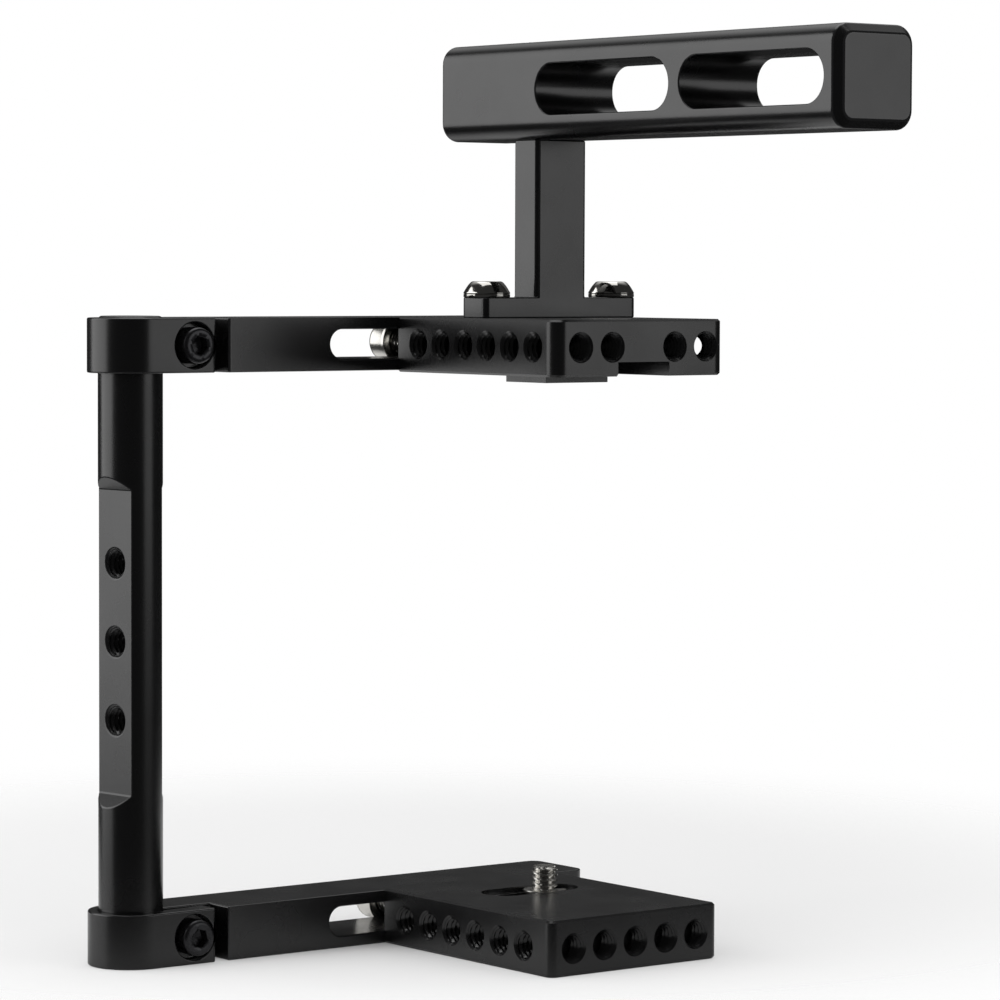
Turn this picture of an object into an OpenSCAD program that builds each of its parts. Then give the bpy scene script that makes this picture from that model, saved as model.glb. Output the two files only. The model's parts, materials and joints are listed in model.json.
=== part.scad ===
// Half cage for a camera: a round side rod, two slotted arms clamped to it, a base plate and a top
// plate with rows of 1/4"-20 holes, and a top handle on a T-shaped post.
// X runs along the arms away from the rod, Y points away from the operator, Z is up.
// The rear of a piece faces the operator and its front faces away.
// The origin is the mouth of the tripod hole in the base plate's underside.

/* [Side rod] */
// Diameter of the side rod
rod_d = 15; // [13:0.5:18]
// Length of the side rod, which stands this high above the ground
rod_len = 150.4; // [146:0.2:190]
// Depth that each flat is cut into the rod
rod_flat_depth = 2.9; // [1:0.1:4.2]
// Length of the flats between their sloped shoulders
rod_flat_len = 70.6; // [50:0.2:74]
// Height of the middle of the flats above the ground
rod_flat_mid = 75.2; // [70:0.2:80]
// Turn of the flats from square to the arms towards the operator
rod_turn = 6.5; // [0:0.5:45]
// Distance between the cross holes through the flats
rod_hole_pitch = 18.2; // [12:0.2:20]
// Number of cross holes through the flats
rod_hole_count = 3; // [1:1:3]
// Bevel at the mouth of each cross hole
rod_mouth_bevel = 0.5; // [0.1:0.05:0.6]
// Distance that the rod stands above the upper arm
rod_proud = 0.4; // [0:0.1:2]
// Bevel round each end of the rod
rod_end_bevel = 0.6; // [0.2:0.1:1]

/* [Arms] */
// Height of each arm
arm_h = 12.7; // [12:0.1:16]
// Depth of each arm from front to back
arm_d = 20; // [19:0.5:24]
// Corner radius at an arm's free end
arm_corner_r = 3; // [1:0.5:5]
// Distance from the rod's axis to the near end of an arm's slot
slot_start = 49.5; // [40:0.5:52]
// Length of an arm's slot
slot_len = 70; // [66:1:70]
// Height of an arm's slot
slot_h = 7; // [6.8:0.1:8.4]
// Length of an arm past its slot
arm_tip = 7.5; // [5:0.1:20]

/* [Clamps] */
// Distance from the rod's surface to the clamp screw's axis
clamp_screw_gap = 3.75; // [3:0.25:5]
// Distance from the clamp screw's axis to the groove that ends the jaw
jaw_tip = 5.8; // [5:0.05:8]
// Width of the groove that ends the jaw
groove_w = 3.5; // [2:0.1:6]
// Distance from the rod's axis to the rear side of the clamp slit at the groove
slit_y = 3.9; // [3.4:0.1:4.4]
// Width of the clamp slit at the groove
slit_w = 1.7; // [1:0.1:2.2]
// Distance from the rod's axis to the rear side of the clamp slit at the bore
slit_flare_y = 6.1; // [5:0.1:6.6]
// Depth of the recess for the clamp screw's head
clamp_recess_depth = 2.8; // [1.5:0.1:3.4]
// Diameter of the recess for the clamp screw's head
clamp_recess_d = 10.6; // [9.6:0.1:11]
// Diameter of the clamp screw's thread
clamp_thread_d = 5; // [4:0.5:5]
// Length of the clamp screw under its head
clamp_screw_len = 16; // [12:1:17]

/* [Plates] */
// Distance from the rod's axis to the top plate's near side
top_plate_x = 69.2; // [67:0.2:72]
// Width of the top plate along the arm
top_plate_w = 51; // [50:0.5:54]
// Depth of the top plate from front to back
top_plate_d = 60.5; // [58:0.5:70]
// Thickness of the top plate
top_plate_t = 13.1; // [12:0.1:16]
// Distance from the rod's axis to the base plate's near side
base_plate_x = 65.5; // [64:0.1:68]
// Width of the base plate along the arm
base_plate_w = 50; // [48.5:0.5:54]
// Depth of the base plate from front to back
base_plate_d = 64.5; // [63.5:0.5:80]
// Thickness of the base plate
base_plate_t = 13.1; // [12:0.1:16]
// Radius of the top plate's upright corners at the rear
top_corner_r = 3.6; // [2:0.1:4]
// Radius of the base plate's upright corners at the rear
base_corner_r = 2.1; // [1:0.1:4]
// Bevel round the plates' top and bottom edges
plate_bevel = 0.5; // [0.2:0.1:0.8]

/* [Accessory holes] */
// Diameter of the 1/4"-20 thread, used for holes and screws
thread_d = 6.35; // [5.5:0.05:6.4]
// Bevel at the mouth of each threaded hole
mouth_bevel = 0.4; // [0.1:0.05:0.5]
// Number of holes in the left row of each plate
side_hole_count = 6; // [2:1:6]
// Distance between the holes in the top plate's side rows
top_side_pitch = 8.85; // [8:0.05:9]
// Distance from the plate's rear face to the first hole in the top plate's side rows
top_side_first = 8.35; // [7.6:0.05:9]
// Distance from the arm to the lone hole in the top plate's right side
top_lone_hole = 7.9; // [7:0.1:9]
// Depth of the holes in the top plate's left row
top_side_depth = 4; // [3:0.1:4]
// Distance between the holes in the top plate's rear row
top_rear_pitch = 9.3; // [9:0.1:9.4]
// Distance from the rod's axis to the middle of the top plate's rear row, channel and shoe foot
row_x = 95.3; // [95:0.1:96]
// Depth of the holes in the top plate's rear row
top_rear_depth = 9.5; // [5:0.1:10]
// Depth of the holes in the base plate's rear row
base_rear_depth = 4.5; // [3:0.1:5]
// Distance between the holes in the base plate's side rows
base_side_pitch = 9.2; // [8:0.05:9.3]
// Distance from the plate's rear face to the first hole in the base plate's side rows
base_side_first = 10.2; // [10.2:0.1:11]
// Depth of the holes in the base plate's left row
base_side_depth = 8; // [3:0.1:8.4]
// Depth of the holes in the plates' right rows
right_side_depth = 6; // [3:0.1:6.4]
// Number of holes in the top plate's right row
top_right_count = 3; // [1:1:3]
// Number of holes in the base plate's right row
base_right_count = 5; // [1:1:5]
// Distance between the holes in the base plate's rear row
base_rear_pitch = 9.1; // [8:0.05:9.2]
// Number of holes in the base plate's rear row
base_rear_count = 5; // [2:1:5]
// Distance from the arm's rear face to the tripod hole
tripod_y = 46; // [44:0.5:48]
// Depth of the tripod hole
tripod_depth = 9.5; // [6:0.5:10]

/* [Lock screws] */
// Distance from each side of a plate to its lock screws
lock_inset = 15.4; // [13:0.1:16]
// Depth of a plate's tapped holes for the lock screws
lock_hole_depth = 11; // [9:0.5:12]
// Distance that a lock screw stops short of its hole's floor
lock_tip_gap = 0.8; // [0.3:0.1:2]
// Outer diameter of a lock screw's washer
lock_washer_d = 11; // [10:0.1:12.6]
// Thickness of a lock screw's washer
lock_washer_t = 1; // [0.6:0.1:2]

/* [Camera screw] */
// Distance from the rod's axis to the camera screw and the handle
axis_x = 97; // [96.5:0.1:97.4]
// Distance from the arm's rear face to the camera screw
camera_y = 22; // [21:0.5:24]
// Distance that the camera screw can slide towards the rod
camera_travel_in = 12; // [4:0.5:12]
// Distance that the camera screw can slide away from the rod
camera_travel_out = 3; // [0:0.5:3.5]
// Height of the camera screw's stud above the base plate
camera_stud = 5.5; // [4:0.1:7]
// Depth of the channel for the camera screw's head
camera_recess_depth = 6.6; // [5.8:0.1:7]
// Diameter of the camera screw's head
camera_head_d = 12; // [10:0.1:12.6]
// Thickness of the camera screw's head
camera_head_t = 4; // [3:0.1:4.6]
// Thickness of the washer on the camera screw
camera_washer_t = 1; // [0.6:0.1:1.2]
// Diameter of the retaining clip on the camera screw
clip_d = 10.4; // [9:0.1:11]
// Thickness of the retaining clip
clip_t = 0.8; // [0.5:0.1:0.9]

/* [Handle] */
// Distance from the arm's rear face to the post's middle
post_y = 22.9; // [22:0.1:24]
// Length of the post's foot along X
post_foot_w = 45.8; // [44:0.2:50]
// Thickness of the post's foot
post_foot_t = 4.8; // [3:0.1:8]
// Width of the post along X
post_w = 15.2; // [12.6:0.2:20]
// Depth of the post and its foot along Y
post_d = 9.4; // [8.6:0.1:11]
// Height of the post above its foot
post_h = 37.2; // [30:0.2:60]
// Bevel along the post's upright edges
post_bevel = 0.9; // [0.3:0.1:1.4]
// Corner radius of the post's foot
post_foot_r = 1.6; // [0.5:0.1:2.5]
// Distance between the two screws in the post's foot
post_screw_pitch = 37.6; // [37:0.2:38.4]
// Width of the grip
grip_w = 23.6; // [20:0.2:30]
// Height of the grip
grip_h = 22.9; // [20:0.1:30]
// Radius of the grip's long edges
grip_edge_r = 4.5; // [2.8:0.1:5.4]
// Bevel round each end of the grip
grip_bevel = 2; // [1:0.1:2.7]
// Length of the grip in front of the post's middle
grip_front = 29.1; // [20:0.1:40]
// Distance from the post's middle to the first slot in the grip
grip_slot_gap = 9; // [8:0.2:20]
// Length of each slot through the grip
grip_slot_len = 48.6; // [30:0.2:60]
// Height of the slots through the grip
grip_slot_h = 11.9; // [8:0.1:13.8]
// Distance between the two slots in the grip
grip_web = 3.8; // [3:0.1:8]
// Distance from the last slot to the grip's rear end
grip_tail = 4.7; // [4.6:0.1:8]

/* [Small fasteners] */
// Diameter of the button heads on the post's foot
button_d = 11.1; // [10:0.1:12]
// Height of the button heads
button_h = 3; // [2.8:0.1:4]
// Thickness of the washers under the button heads
foot_washer_t = 0.8; // [0.5:0.1:1.6]
// Diameter of the washers under the button heads
foot_washer_d = 11; // [10:0.1:13]
// Distance that a foot screw reaches into the top plate
foot_screw_grip = 8; // [5:0.5:9]
// Diameter of the thread of the grip's screws
grip_screw_d = 4; // [3:0.5:4]
// Distance between the grip's two screws
grip_screw_pitch = 8; // [7.8:0.1:8.4]
// Length that the grip's screws reach into the post
grip_screw_grip = 12; // [8:1:16]
// Depth of the recesses for the grip's screw heads
grip_recess_depth = 6; // [5:0.5:10]

/* [Shoe foot] */
// Width of the shoe foot
shoe_w = 18.6; // [17:0.1:19]
// Length of the shoe foot
shoe_l = 15.4; // [15:0.2:20]
// Thickness of the shoe foot
shoe_t = 2.1; // [1.9:0.1:2.4]
// Distance from the arm's rear face to the shoe foot's middle
shoe_y = 28; // [26:0.5:30]
// Width of the channel under the top plate
channel_w = 15.3; // [14:0.1:16]
// Depth of the channel under the top plate
channel_depth = 3.3; // [2:0.1:4]
// Diameter of the shoe screw's thread
shoe_screw_d = 5; // [4:0.5:6]
// Length of the shoe screw
shoe_screw_len = 11; // [8:0.5:12]

/* [Fits] */
// Radial clearance of a turning screw or rod in its hole
run_gap = 0.05; // [0.02:0.01:0.09]
// Clearance between a slot and what slides in it
slide_gap = 0.15; // [0.05:0.05:0.2]

/* [Hidden] */
$fn = 64;
eps = 0.01;
over = 1;

black = "#2c2c2d";
black_screw = "#1c1c1e";
silver = "#c9c9c6";

// Places, measured from the tripod hole
rod_x = -(base_plate_x + base_plate_w / 2);
rod_y = arm_d / 2 + tripod_y;
arm_rear_y = rod_y - arm_d / 2;
arm_front_y = rod_y + arm_d / 2;
upper_z = rod_len - rod_proud - arm_h;
mid_z = arm_h / 2;
handle_x = rod_x + axis_x;
row_mid_x = rod_x + row_x;
post_mid_y = arm_rear_y - post_y;
foot_z = upper_z + arm_h;
top_plate_z = foot_z - top_plate_t;
post_z = foot_z + post_foot_t;
grip_z = post_z + post_h;
grip_front_y = post_mid_y + grip_front;
grip_mid_z = grip_z + grip_h / 2;
grip_len = grip_front + grip_slot_gap + 2 * grip_slot_len + grip_web + grip_tail;
grip_slot_y = grip_front_y - grip_len + grip_tail;
camera_x = rod_x + axis_x;
camera_mid_y = arm_rear_y - camera_y;
shoe_mid_y = arm_rear_y - shoe_y;

// Standard sizes worked out from a thread
thread_r = thread_d / 2;
screw_r = thread_r - run_gap;
lock_head_d = 1.5 * thread_d;
lock_head_h = thread_d;
lock_socket = 0.75 * thread_d;
clamp_head_d = 1.7 * clamp_thread_d;
clamp_head_h = clamp_thread_d;
clamp_socket = 0.8 * clamp_thread_d;
washer_bore_r = thread_r + 0.375;
clamp_ring_r = arm_d / 2;
clamp_screw_x = rod_d / 2 + clamp_screw_gap;
groove_x = clamp_screw_x + jaw_tip;
arm_len = slot_start + slot_len + arm_tip;
camera_recess_w = camera_head_d + 2;
clip_recess_depth = clip_t + 0.4;
clip_recess_w = clip_d + 1;
button_socket = 0.625 * thread_d;
grip_head_d = 1.75 * grip_screw_d;
shoe_head_d = 2 * shoe_screw_d;
shoe_neck_w = channel_w - 2 * slide_gap;
shoe_cone_h = shoe_head_d / 2 - shoe_screw_d / 2;

// ---- Shared shapes ----

// A rounded rectangle w by d with its middle at the origin
module rounded_rectangle(w, d, r) {
    square([w - 2 * r, d], center = true);
    square([w, d - 2 * r], center = true);
    for (sx = [-1, 1], sy = [-1, 1])
        translate([sx * (w / 2 - r), sy * (d / 2 - r)]) circle(r);
}

// A rectangle w by d with its corners cut off by b and its middle at the origin
module beveled_rectangle(w, d, b) {
    polygon([
        [-w / 2 + b, -d / 2], [w / 2 - b, -d / 2], [w / 2, -d / 2 + b], [w / 2, d / 2 - b],
        [w / 2 - b, d / 2], [-w / 2 + b, d / 2], [-w / 2, d / 2 - b], [-w / 2, -d / 2 + b]
    ]);
}

// A block w by d by h on the ground, with round upright corners r and beveled top and bottom edges b
module beveled_block(w, d, h, r, b) {
    rotate([90, 0, 90])
        linear_extrude(w - 2 * r, center = true)
            translate([0, h / 2]) beveled_rectangle(d, h, b);
    rotate([90, 0, 0])
        linear_extrude(d - 2 * r, center = true)
            translate([0, h / 2]) beveled_rectangle(w, h, b);
    for (sx = [-1, 1], sy = [-1, 1])
        translate([sx * (w / 2 - r), sy * (d / 2 - r), 0])
            rotate_extrude()
                polygon([[0, 0], [r - b, 0], [r, b], [r, h - b], [r - b, h], [0, h]]);
}

// A plate w by d by h on the ground, with its rear face on the origin's X line. Its rear upright
// corners are round, its front ones meet the arm and are square. Bevels b run along its sides.
module plate_block(w, d, h, r, b) {
    translate([0, r + 1, 0]) beveled_block(w, 2 * r + 2, h, r, b);
    translate([0, (d + r) / 2, h / 2])
        rotate([90, 0, 0]) linear_extrude(d - r, center = true) beveled_rectangle(w, h, b);
}

// The bevel b at the mouth of a hole that goes along +Z from the origin
module hole_mouth(r, b) {
    translate([0, 0, -eps]) cylinder(r1 = r + b + eps, r2 = r, h = b + eps);
}

// A threaded hole that goes depth deep along +Z from its mouth at the origin
module threaded_hole(r, depth) {
    translate([0, 0, -over]) cylinder(r = r, h = depth + over);
    hole_mouth(r, mouth_bevel);
}

// A slot along X, len from end to end and h high, that runs through along Y
module long_slot(len, h, depth) {
    for (x = [h / 2, len - h / 2])
        translate([x, 0, 0]) rotate([90, 0, 0]) cylinder(d = h, h = depth, center = true);
    translate([len / 2, 0, 0]) cube([len - h, depth, h], center = true);
}

// A cap screw along -Z: its head stands on the origin's plane, its shank goes down len
module cap_screw(r, len, head_d, head_h, socket) {
    difference() {
        union() {
            cylinder(d = head_d, h = head_h);
            translate([0, 0, -len]) cylinder(r = r, h = len + eps);
        }
        translate([0, 0, head_h / 2]) cylinder(d = socket / cos(30), h = head_h, $fn = 6);
    }
}

module flat_washer(outer_d, bore_r, t) {
    difference() {
        cylinder(d = outer_d, h = t);
        translate([0, 0, -over]) cylinder(r = bore_r, h = t + 2 * over);
    }
}

// ---- Side rod ----

module rod_flat_cut() {
    shoulder = rod_flat_depth + over;
    rotate([90, 0, 0])
        linear_extrude(rod_d + 2 * over, center = true)
            polygon([
                [rod_d / 2 - rod_flat_depth, -rod_flat_len / 2],
                [rod_d / 2 - rod_flat_depth, rod_flat_len / 2],
                [rod_d / 2 + over, rod_flat_len / 2 + shoulder],
                [rod_d / 2 + over, -rod_flat_len / 2 - shoulder]
            ]);
}

// A threaded hole through the rod, with a beveled mouth in each flat
module rod_cross_hole() {
    rotate([0, 90, 0]) cylinder(r = thread_r, h = rod_d + 2 * over, center = true);
    for (s = [0, 1])
        mirror([s, 0, 0])
            translate([rod_flat_depth - rod_d / 2, 0, 0])
                rotate([0, 90, 0]) hole_mouth(thread_r, rod_mouth_bevel);
}

module side_rod() {
    r = rod_d / 2;
    b = rod_end_bevel;
    color(black) translate([rod_x, rod_y, 0]) rotate([0, 0, rod_turn])
        difference() {
            rotate_extrude()
                polygon([[0, 0], [r - b, 0], [r, b], [r, rod_len - b], [r - b, rod_len], [0, rod_len]]);
            translate([0, 0, rod_flat_mid]) {
                rod_flat_cut();
                mirror([1, 0, 0]) rod_flat_cut();
                for (i = [0 : rod_hole_count - 1])
                    translate([0, 0, (i - (rod_hole_count - 1) / 2) * rod_hole_pitch]) rod_cross_hole();
            }
        }
}

// ---- Arms ----

// The bar seen from above, with the rod's axis at the origin
module arm_outline() {
    circle(clamp_ring_r);
    translate([0, -arm_d / 2]) square([arm_len - arm_corner_r, arm_d]);
    translate([arm_len / 2, -arm_d / 2 + arm_corner_r])
        square([arm_len / 2, arm_d - 2 * arm_corner_r]);
    for (sy = [-1, 1])
        translate([arm_len - arm_corner_r, sy * (arm_d / 2 - arm_corner_r)]) circle(arm_corner_r);
}

// The groove and the tapering slit that free the clamp's jaw, seen from above
module jaw_cut() {
    translate([groove_x, -arm_d / 2 - over]) square([groove_w, arm_d / 2 + over - slit_y + eps]);
    polygon([
        [0, -slit_flare_y], [groove_x + groove_w, -slit_y],
        [groove_x + groove_w, -slit_y + slit_w], [0, -slit_y + slit_w]
    ]);
}

module arm() {
    difference() {
        linear_extrude(arm_h) difference() {
            arm_outline();
            circle(rod_d / 2 + run_gap);
            jaw_cut();
        }
        translate([slot_start, 0, mid_z]) long_slot(slot_len, slot_h, arm_d + 2 * over);
        translate([clamp_screw_x, 0, mid_z]) rotate([-90, 0, 0]) {
            translate([0, 0, -arm_d / 2 - over])
                cylinder(d = clamp_recess_d, h = clamp_recess_depth + over);
            translate([0, 0, -arm_d / 2])
                cylinder(r = clamp_thread_d / 2 + 0.25, h = arm_d / 2 - slit_y + slit_w);
            translate([0, 0, -slit_y]) cylinder(r = clamp_thread_d / 2, h = arm_d);
        }
    }
}

module clamp_screw() {
    color(black_screw)
        translate([rod_x + clamp_screw_x, arm_rear_y + clamp_recess_depth, mid_z])
            rotate([90, 0, 0])
                cap_screw(clamp_thread_d / 2 - run_gap, clamp_screw_len, clamp_head_d, clamp_head_h,
                    clamp_socket);
}

module lower_arm() {
    color(black) translate([rod_x, rod_y, 0]) arm();
}

module upper_arm() {
    color(black) translate([rod_x, rod_y, upper_z]) arm();
}

module lower_clamp_screw() {
    clamp_screw();
}

module upper_clamp_screw() {
    translate([0, 0, upper_z]) clamp_screw();
}

// ---- Plates ----

// A row of threaded holes along +Y from the origin, going in along +X
module side_row(pitch, depth, count) {
    for (i = [0 : count - 1])
        translate([0, i * pitch, 0]) rotate([0, 90, 0]) threaded_hole(thread_r, depth);
}

// The two tapped holes for the lock screws, in the face that meets the arm, at height z
module lock_holes(x0, w, z) {
    for (x = [x0 + lock_inset, x0 + w - lock_inset])
        translate([rod_x + x, arm_rear_y, z])
            rotate([90, 0, 0]) threaded_hole(thread_r, lock_hole_depth);
}

module base_plate() {
    left = rod_x + base_plate_x;
    right = left + base_plate_w;
    mid = left + base_plate_w / 2;
    rear = arm_rear_y - base_plate_d;
    color(black) difference() {
        translate([mid, rear, 0])
            plate_block(base_plate_w, base_plate_d, base_plate_t, base_corner_r, plate_bevel);
        translate([left, rear + base_side_first, mid_z])
            side_row(base_side_pitch, base_side_depth, side_hole_count);
        translate([right, rear + base_side_first + base_side_pitch, mid_z])
            mirror([1, 0, 0]) side_row(base_side_pitch, right_side_depth, base_right_count);
        for (i = [0 : base_rear_count - 1])
            translate([mid + (i - (base_rear_count - 1) / 2) * base_rear_pitch, rear, mid_z])
                rotate([-90, 0, 0]) threaded_hole(thread_r, base_rear_depth);
        lock_holes(base_plate_x, base_plate_w, mid_z);
        threaded_hole(thread_r, tripod_depth);
        camera_slot();
    }
}

// The camera screw's slot, the channel for its head and the recess for its clip
module camera_slot() {
    x0 = camera_x - camera_travel_in;
    x1 = camera_x + camera_travel_out;
    upright_slot(x0, x1, 2 * (thread_r + slide_gap), -over, base_plate_t + over);
    upright_slot(x0, x1, camera_recess_w, -over, camera_recess_depth);
    upright_slot(x0, x1, clip_recess_w, base_plate_t - clip_recess_depth, base_plate_t + over);
}

// A slot w wide between two centres along X, from height z0 to z1
module upright_slot(x0, x1, w, z0, z1) {
    for (x = [x0, x1])
        translate([x, camera_mid_y, z0]) cylinder(d = w, h = z1 - z0);
    translate([x0, camera_mid_y - w / 2, z0]) cube([x1 - x0, w, z1 - z0]);
}

module top_plate() {
    left = rod_x + top_plate_x;
    right = left + top_plate_w;
    mid = left + top_plate_w / 2;
    rear = arm_rear_y - top_plate_d;
    hole_z = upper_z - top_plate_z + mid_z;
    color(black) translate([0, 0, top_plate_z]) difference() {
        translate([mid, rear, 0])
            plate_block(top_plate_w, top_plate_d, top_plate_t, top_corner_r, plate_bevel);
        translate([left, rear + top_side_first, hole_z])
            side_row(top_side_pitch, top_side_depth, side_hole_count);
        translate([right, rear + top_side_first, hole_z])
            mirror([1, 0, 0]) side_row(top_side_pitch, right_side_depth, top_right_count);
        translate([right, arm_rear_y - top_lone_hole, hole_z])
            mirror([1, 0, 0]) side_row(0, right_side_depth, 1);
        for (i = [-2, -1, 1, 2])
            translate([row_mid_x + i * top_rear_pitch, rear, hole_z])
                rotate([-90, 0, 0]) threaded_hole(thread_r, top_rear_depth);
        lock_holes(top_plate_x, top_plate_w, hole_z);
        for (s = [-1, 1])
            translate([handle_x + s * post_screw_pitch / 2, post_mid_y, top_plate_t])
                rotate([180, 0, 0]) threaded_hole(thread_r, foot_screw_grip + 0.8);
        translate([row_mid_x - channel_w / 2, rear - over, -over])
            cube([channel_w, shoe_mid_y + shoe_l / 2 + 3 - rear + over, channel_depth + over]);
        translate([row_mid_x, shoe_mid_y, -shoe_t])
            cylinder(r = shoe_screw_d / 2 + run_gap, h = shoe_screw_len + 0.8);
    }
}

// ---- Lock screws ----

// A lock screw x away from the rod's axis, level with height z
module lock_screw(x, z) {
    reach = lock_washer_t + arm_d + lock_hole_depth - lock_tip_gap;
    color(silver)
        translate([rod_x + x, arm_front_y + lock_washer_t, z])
            rotate([-90, 0, 0]) cap_screw(screw_r, reach, lock_head_d, lock_head_h, lock_socket);
}

module lock_washer(x, z) {
    color(silver)
        translate([rod_x + x, arm_front_y, z])
            rotate([-90, 0, 0]) flat_washer(lock_washer_d, washer_bore_r, lock_washer_t);
}

base_lock_left = base_plate_x + lock_inset;
base_lock_right = base_plate_x + base_plate_w - lock_inset;
top_lock_left = top_plate_x + lock_inset;
top_lock_right = top_plate_x + top_plate_w - lock_inset;

module lower_lock_screw_left() { lock_screw(base_lock_left, mid_z); }
module lower_lock_screw_right() { lock_screw(base_lock_right, mid_z); }
module upper_lock_screw_left() { lock_screw(top_lock_left, upper_z + mid_z); }
module upper_lock_screw_right() { lock_screw(top_lock_right, upper_z + mid_z); }
module lower_lock_washer_left() { lock_washer(base_lock_left, mid_z); }
module lower_lock_washer_right() { lock_washer(base_lock_right, mid_z); }
module upper_lock_washer_left() { lock_washer(top_lock_left, upper_z + mid_z); }
module upper_lock_washer_right() { lock_washer(top_lock_right, upper_z + mid_z); }

// ---- Handle ----

module handle_post() {
    foot_hole_r = thread_r + 0.2;
    color(black) difference() {
        union() {
            translate([handle_x, post_mid_y, foot_z])
                linear_extrude(post_foot_t)
                    rounded_rectangle(post_foot_w, post_d, post_foot_r);
            translate([handle_x, post_mid_y, foot_z])
                linear_extrude(post_foot_t + post_h)
                    beveled_rectangle(post_w, post_d, post_bevel);
        }
        for (s = [-1, 1])
            translate([handle_x + s * post_screw_pitch / 2, post_mid_y, foot_z - over])
                cylinder(r = foot_hole_r, h = post_foot_t + 2 * over);
        for (s = [-1, 1])
            translate([handle_x + s * grip_screw_pitch / 2, post_mid_y, grip_z - grip_screw_grip - 1])
                cylinder(r = grip_screw_d / 2 + run_gap, h = grip_screw_grip + 1 + over);
    }
}

module handle_bar() {
    color(black) difference() {
        translate([handle_x, grip_front_y, grip_mid_z])
            rotate([90, 0, 0])
                beveled_block(grip_w, grip_h, grip_len, grip_edge_r, grip_bevel);
        for (i = [0, 1])
            translate([handle_x, grip_slot_y + i * (grip_slot_len + grip_web), grip_mid_z])
                rotate([0, 0, 90]) long_slot(grip_slot_len, grip_slot_h, grip_w + 2 * over);
        for (s = [-1, 1])
            translate([handle_x + s * grip_screw_pitch / 2, post_mid_y, grip_z]) {
                translate([0, 0, -over])
                    cylinder(r = grip_screw_d / 2 + run_gap, h = grip_h);
                translate([0, 0, grip_h - grip_recess_depth])
                    cylinder(d = grip_head_d + 0.4, h = grip_recess_depth + over);
            }
    }
}

module handle_bar_screws() {
    reach = grip_h - grip_recess_depth + grip_screw_grip;
    seat_z = grip_z + grip_h - grip_recess_depth;
    color(black_screw)
        for (s = [-1, 1])
            translate([handle_x + s * grip_screw_pitch / 2, post_mid_y, seat_z])
                cap_screw(grip_screw_d / 2, reach, grip_head_d, grip_screw_d, 0.75 * grip_screw_d);
}

// A button head screw: a thin rim under a low dome with a flat top, and a hexagon socket
module button_screw() {
    rim = 0.1 * button_h;
    dome_h = button_h - rim;
    top_r = 0.32 * button_d;
    steps = 8;
    arc = [for (i = [0 : steps]) let (t = i / steps)
        [button_d / 2 + (top_r - button_d / 2) * t, rim + dome_h * (t + 0.12 * sin(180 * t))]];
    difference() {
        union() {
            rotate_extrude() polygon(concat([[0, 0], [button_d / 2, 0]], arc, [[0, button_h]]));
            translate([0, 0, -foot_washer_t - post_foot_t - foot_screw_grip])
                cylinder(r = screw_r, h = foot_washer_t + post_foot_t + foot_screw_grip + eps);
        }
        translate([0, 0, 0.4 * button_h])
            cylinder(d = button_socket / cos(30), h = button_h, $fn = 6);
    }
}

module foot_screw(side) {
    color(silver)
        translate([handle_x + side * post_screw_pitch / 2, post_mid_y, post_z + foot_washer_t])
            button_screw();
}

module foot_washer(side) {
    color(silver)
        translate([handle_x + side * post_screw_pitch / 2, post_mid_y, post_z])
            flat_washer(foot_washer_d, thread_r + 0.2, foot_washer_t);
}

module handle_foot_screw_left() { foot_screw(-1); }
module handle_foot_screw_right() { foot_screw(1); }
module handle_foot_washer_left() { foot_washer(-1); }
module handle_foot_washer_right() { foot_washer(1); }

// ---- Shoe foot ----

module shoe_foot() {
    color(black) translate([row_mid_x, shoe_mid_y, top_plate_z]) difference() {
        union() {
            translate([-shoe_w / 2, -shoe_l / 2, -shoe_t]) cube([shoe_w, shoe_l, shoe_t]);
            translate([-shoe_neck_w / 2, -shoe_l / 2, -shoe_t])
                cube([shoe_neck_w, shoe_l, shoe_t + channel_depth]);
        }
        translate([0, 0, -shoe_t - over])
            cylinder(r = shoe_screw_d / 2 + run_gap, h = channel_depth + shoe_t + 2 * over);
        translate([0, 0, -shoe_t - eps])
            cylinder(r1 = shoe_head_d / 2 + 0.1, r2 = shoe_screw_d / 2 + run_gap, h = shoe_cone_h);
    }
}

module shoe_screw() {
    color(black_screw) translate([row_mid_x, shoe_mid_y, top_plate_z - shoe_t]) difference() {
        union() {
            cylinder(r1 = shoe_head_d / 2, r2 = shoe_screw_d / 2, h = shoe_cone_h);
            cylinder(r = shoe_screw_d / 2, h = shoe_screw_len);
        }
        translate([0, 0, -over]) cylinder(d = 0.6 * shoe_screw_d / cos(30), h = over + 2, $fn = 6);
    }
}

// ---- Camera screw ----

camera_head_top = camera_recess_depth - camera_washer_t;
clip_z = base_plate_t - clip_recess_depth + 0.2;

module camera_screw() {
    groove_r = screw_r - 0.6;
    color(silver) translate([camera_x, camera_mid_y, 0]) difference() {
        union() {
            translate([0, 0, camera_head_top - camera_head_t])
                cylinder(d = camera_head_d, h = camera_head_t);
            translate([0, 0, camera_head_top - eps])
                cylinder(r = screw_r, h = base_plate_t + camera_stud - camera_head_top + eps);
        }
        translate([0, 0, camera_head_top - camera_head_t])
            cube([camera_head_d + 2 * over, 1.6, 3], center = true);
        translate([0, 0, clip_z - 0.05]) difference() {
            cylinder(r = screw_r + over, h = clip_t + 0.1);
            translate([0, 0, -over]) cylinder(r = groove_r, h = clip_t + 0.1 + 2 * over);
        }
    }
}

module camera_screw_washer() {
    color(silver) translate([camera_x, camera_mid_y, camera_head_top])
        flat_washer(camera_head_d + 1, thread_r, camera_washer_t);
}

// A retaining clip: a ring with a gap on one side
module camera_screw_clip() {
    color(silver) translate([camera_x, camera_mid_y, clip_z]) difference() {
        flat_washer(clip_d, screw_r - 0.55, clip_t);
        translate([0, -1.6, -over]) cube([clip_d, 3.2, clip_t + 2 * over]);
    }
}

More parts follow.
